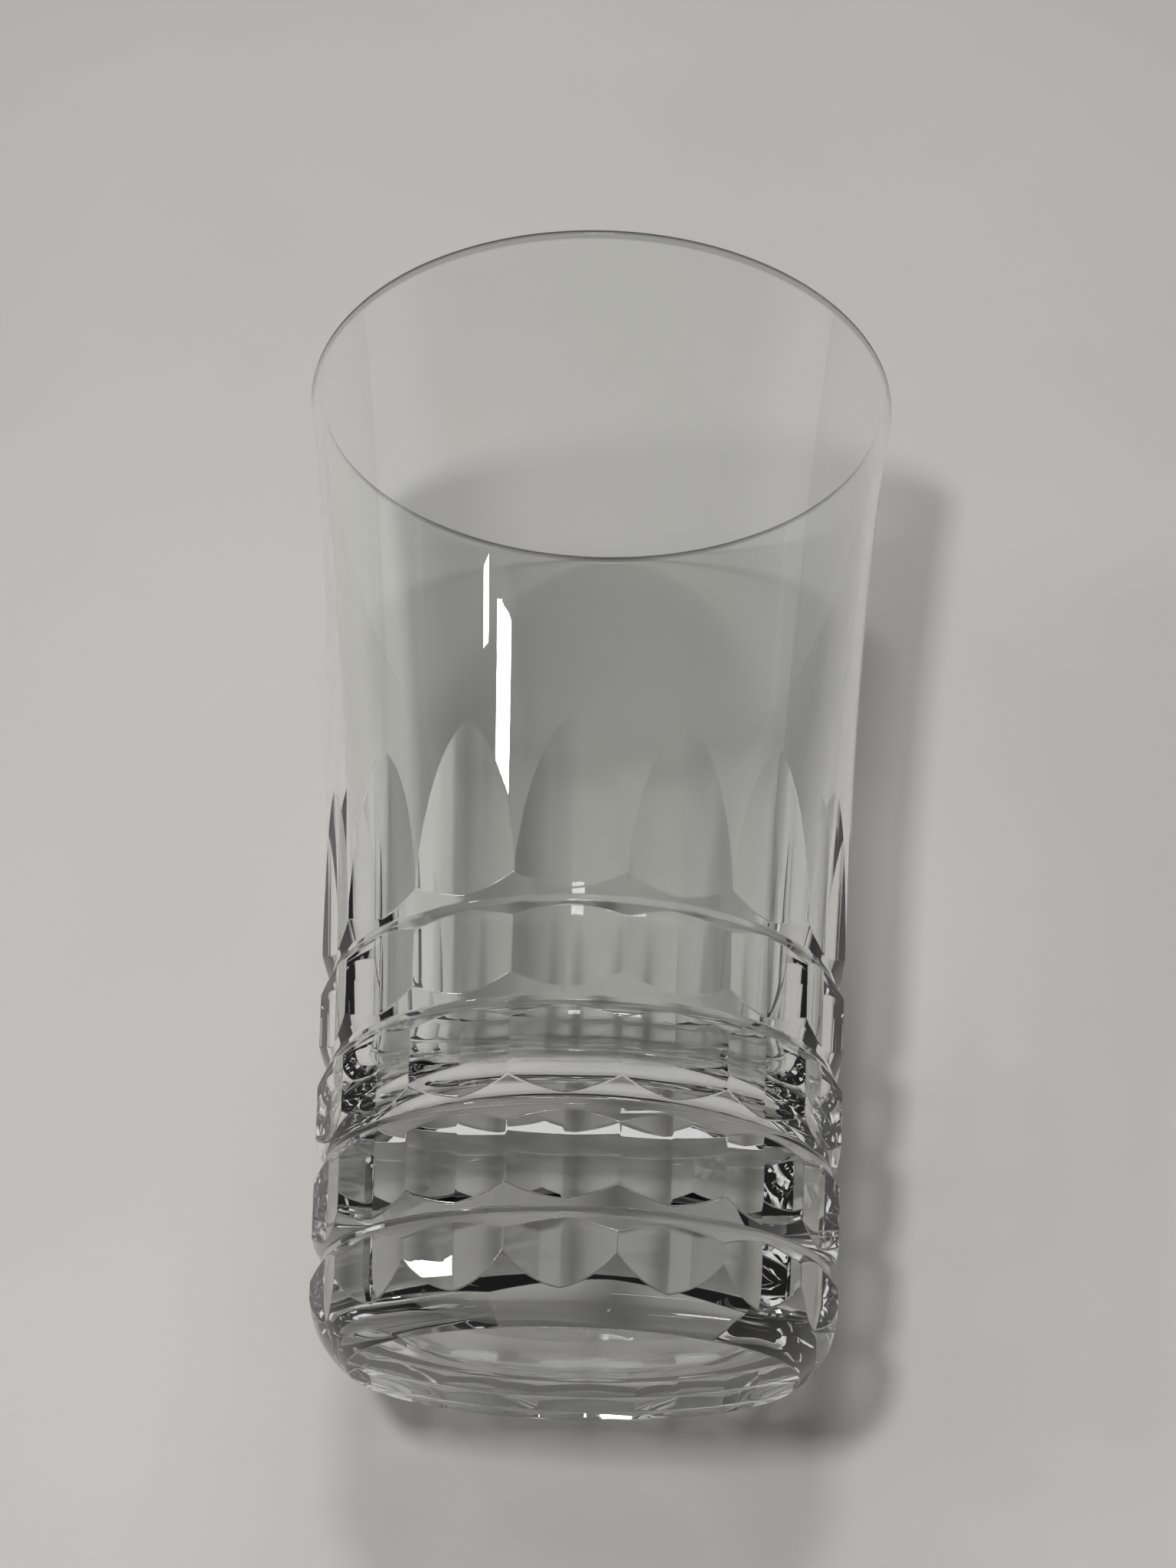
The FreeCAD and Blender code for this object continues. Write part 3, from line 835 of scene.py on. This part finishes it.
class TUMBLER_OT_stage(bpy.types.Operator):
    """Make the table top that the glass lies against, the floor, the lamps, the room and the camera"""

    bl_idname = "tumbler.stage"
    bl_label = "Stage"

    def execute(self, context):
        self.table(context)
        self.floor(context)
        self.lamps(context)
        self.room(context)
        self.camera(context)
        return {"FINISHED"}

    def plane(self, context, name, corners, material):
        """A plane with four corners, which lets the lamps' light pass and bounces none on."""
        mesh = bpy.data.meshes.new(name)
        mesh.from_pydata(corners, [], [(0, 1, 2, 3)])
        mesh.update()
        mesh.materials.append(material)
        plane = bpy.data.objects.new(name, mesh)
        context.scene.collection.objects.link(plane)
        plane.visible_diffuse = False
        plane.visible_shadow = False
        return plane

    def table(self, context):
        """The table top, which leans behind the glass."""
        half, low, high = TABLE_HALF_WIDTH, -TABLE_BELOW, TABLE_ABOVE
        corners = [(x, TABLE_FOOT + math.tan(TABLE_LEAN) * z, z)
                   for x, z in ((-half, low), (half, low), (half, high), (-half, high))]
        table = self.plane(context, "table_top", corners, table_material())

    def floor(self, context):
        """The plane that the glass stands on, which only the camera sees."""
        half = FLOOR_HALF_WIDTH
        corners = [(-half, -half, 0), (half, -half, 0), (half, half, 0), (-half, half, 0)]
        floor = self.plane(context, "floor", corners, floor_material())
        floor.visible_glossy = False
        floor.visible_transmission = False

    def lamps(self, context):
        """The rectangular lamps, each with its width turned along its row's direction."""
        for name, place, size, turn, power, glossy, through in LAMPS:
            light = bpy.data.lights.new(name, "AREA")
            light.shape = "RECTANGLE"
            light.size, light.size_y = size
            light.energy = power
            lamp = bpy.data.objects.new(name, light)
            ahead = (TARGET - Vector(place)).normalized()
            along = Vector(turn)
            along = (along - ahead * along.dot(ahead)).normalized()
            axes = Matrix((along, along.cross(ahead), -ahead)).transposed()
            lamp.matrix_world = Matrix.Translation(place) @ axes.to_4x4()
            lamp.visible_camera = False
            lamp.visible_glossy = glossy
            lamp.visible_transmission = through
            context.scene.collection.objects.link(lamp)

    def room(self, context):
        """A plain room with a dark ceiling, which lies halfway between -Y and +Z.

        The camera, and any ray that left the glass away from the ceiling, sees a pale backdrop.
        """
        world = bpy.data.worlds.new("room")
        context.scene.world = world
        world.use_nodes = True
        tree = world.node_tree
        tree.nodes.clear()
        output = tree.nodes.new("ShaderNodeOutputWorld")
        room = tree.nodes.new("ShaderNodeBackground")
        tree.links.new(room.outputs["Background"], output.inputs["Surface"])

        where = tree.nodes.new("ShaderNodeTexCoord")
        aim = tree.nodes.new("ShaderNodeVectorMath")
        aim.operation = "DOT_PRODUCT"
        aim.inputs[1].default_value = CEILING
        tree.links.new(where.outputs["Generated"], aim.inputs[0])
        first, last = CEILING_EDGE
        colours = ((first, look().room_colour), (last, look().ceiling_colour))
        walls = ramp_node(tree, aim.outputs["Value"], colours, "EASE")
        dark = remap_node(tree, aim.outputs["Value"], first, last, curve="SMOOTHSTEP")

        path = tree.nodes.new("ShaderNodeLightPath")
        through = math_node(tree, "SUBTRACT", path.outputs["Is Transmission Ray"],
                            path.outputs["Diffuse Depth"], clamp=True)
        far = math_node(tree, "SUBTRACT", through, dark, clamp=True)
        seen = math_node(tree, "ADD", path.outputs["Is Camera Ray"], far, clamp=True)
        backdrop = mix_node(tree, seen, walls, (*look().backdrop_colour, 1))
        tree.links.new(backdrop, room.inputs["Color"])

    def camera(self, context):
        """The camera, and the plain view of what it sees."""
        data = bpy.data.cameras.new("eye")
        data.lens = LENS
        data.sensor_width = SENSOR
        data.clip_start = CLIP_START
        eye = bpy.data.objects.new("eye", data)
        up = -EYE_DOWN
        back = EYE_RIGHT.cross(up)
        turn = Matrix((EYE_RIGHT, up, back)).transposed()
        eye.matrix_world = Matrix.Translation(EYE) @ turn.to_4x4()
        context.scene.collection.objects.link(eye)
        context.scene.camera = eye
        context.scene.cycles.blur_glossy = 0.0
        context.scene.view_settings.view_transform = "Standard"


class TUMBLER_PT_panel(bpy.types.Panel):
    """Lists the sizes, the colours and the pieces"""

    bl_label = "Tumbler"
    bl_idname = "TUMBLER_PT_panel"
    bl_space_type = "VIEW_3D"
    bl_region_type = "UI"
    bl_category = "Tumbler"

    def draw(self, context):
        layout = self.layout
        for group in (context.scene.tumbler_shape, context.scene.tumbler_look):
            column = layout.column(align=True)
            for name in group.__annotations__:
                column.prop(group, name)
        for operator in PIECES:
            layout.operator(operator.bl_idname)


PIECES = (TUMBLER_OT_glass, TUMBLER_OT_stage)
CLASSES = (TumblerShape, TumblerLook, *PIECES, TUMBLER_PT_panel)


def register():
    """Register the classes and hang the properties on the scene."""
    for item in CLASSES:
        bpy.utils.register_class(item)
    bpy.types.Scene.tumbler_shape = PointerProperty(type=TumblerShape)
    bpy.types.Scene.tumbler_look = PointerProperty(type=TumblerLook)


def unregister():
    """Take the properties and the classes away again."""
    del bpy.types.Scene.tumbler_look
    del bpy.types.Scene.tumbler_shape
    for item in reversed(CLASSES):
        bpy.utils.unregister_class(item)


def main():
    """Build the glass and its stage."""
    register()
    bpy.ops.tumbler.glass()
    bpy.ops.tumbler.stage()


if __name__ == "__main__":
    main()
